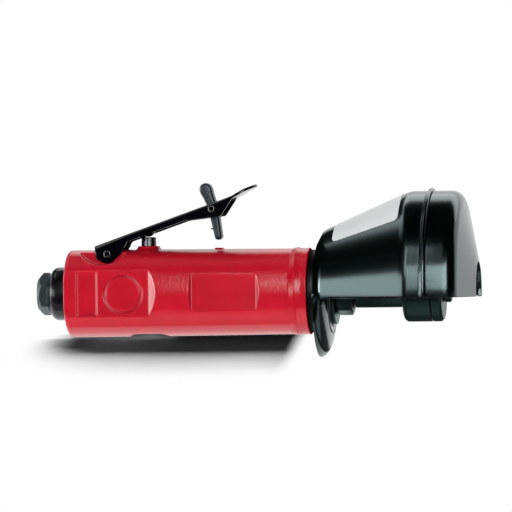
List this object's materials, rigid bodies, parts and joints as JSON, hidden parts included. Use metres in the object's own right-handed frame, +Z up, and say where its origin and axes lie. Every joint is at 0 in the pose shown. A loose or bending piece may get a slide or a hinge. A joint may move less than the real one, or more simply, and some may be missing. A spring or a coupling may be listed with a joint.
{
  "type": "pneumatic cut off tool",
  "caption": "Straight air-powered cut-off tool: round red handle with a lever throttle and lock-off latch, black half guard and wheel flanges on the spindle.",
  "frame": {"origin": "on the spindle axis, at the front face of the inner wheel flange, where the wheel seats", "axes": "+X along the spindle from the handle to the wheel, +Z up to the throttle lever"},
  "size_m": [0.1892, 0.0864, 0.0751],
  "materials": {
    "red_paint": "gloss",
    "black_lever": "satin",
    "black_guard": "satin",
    "black_oxide": "satin",
    "bright_steel": "satin",
    "bearing_steel": "polished",
    "spring_steel": "satin",
    "latch_resin": "satin",
    "bush_brass": "satin",
    "seal_rubber": "matte",
    "vane_resin": "matte",
    "muffler_felt": "matte",
    "motor_iron": "satin"
  },
  "bodies": {
    "handle": {"housing": "red_paint", "inlet_bushing": "black_oxide", "inlet_screen": "bright_steel", "inlet_seal": "seal_rubber", "exhaust_collar": "black_oxide", "muffler_ring": "muffler_felt", "lever_pin": "spring_steel", "stem_bush": "bush_brass", "valve_seat": "seal_rubber", "regulator_clip": "spring_steel", "rear_end_plate": "motor_iron", "motor_cylinder": "motor_iron", "front_end_plate": "motor_iron", "motor_dowel": "bright_steel", "rear_bearing_outer": "bearing_steel", "front_bearing_outer": "bearing_steel", "front_cap": "black_oxide", "guard_washer": "black_oxide", "guard_nut": "black_oxide", "throttle_spring": "spring_steel"},
    "lever": {"throttle_lever": "black_lever", "latch_pin": "spring_steel"},
    "latch": {"lock_latch": "latch_resin", "latch_spring": "spring_steel"},
    "valve": {"valve_stem": "bright_steel", "valve_ball": "bearing_steel"},
    "regulator": {"regulator_screw": "bright_steel", "regulator_seal": "seal_rubber"},
    "spindle_group": {"rotor": "bright_steel", "rotor_vanes": "vane_resin", "rear_bearing_inner": "bearing_steel", "rear_bearing_balls": "bearing_steel", "front_bearing_inner": "bearing_steel", "front_bearing_balls": "bearing_steel", "spindle": "black_oxide", "inner_flange": "black_oxide", "outer_flange": "black_oxide", "arbor_screw": "black_oxide"},
    "guard": {"guard_rear_shell": "black_guard", "guard_front_shell": "black_guard"}
  },
  "joints": [
    {"name": "lever_hinge", "type": "hinge", "parent": "handle", "child": "lever", "pos_m": [-0.1384, 0, 0.0169], "axis": [0, 1, 0], "range_deg": [0, 8], "stiffness_Nm_per_rad": 1.5, "springref_deg": -8.59},
    {"name": "latch_hinge", "type": "hinge", "parent": "lever", "child": "latch", "pos_m": [-0.0932, 0, 0.0355], "axis": [0, 1, 0], "range_deg": [0, 56.5], "deforming": ["latch_spring"]},
    {"name": "valve_slide", "type": "slide", "parent": "handle", "child": "valve", "axis": [0, 0, -1], "range_m": [0, 0.0026], "deforming": ["throttle_spring"]},
    {"name": "spindle_spin", "type": "hinge", "parent": "handle", "child": "spindle_group", "pos_m": [0, 0, 0], "axis": [1, 0, 0], "continuous": true},
    {"name": "guard_swivel", "type": "hinge", "parent": "handle", "child": "guard", "pos_m": [-0.0443, 0, 0], "axis": [1, 0, 0], "continuous": true},
    {"name": "regulator_turn", "type": "hinge", "parent": "handle", "child": "regulator", "pos_m": [-0.1215, 0, -0.01654], "axis": [0, 0, -1], "range_deg": [0, 180]}
  ],
  "couplings": [
    {"joint": "latch_hinge", "follows": "lever_hinge", "ratio": 7},
    {"joint": "valve_slide", "follows": "lever_hinge", "m_per_rad": 0.01757}
  ]
}
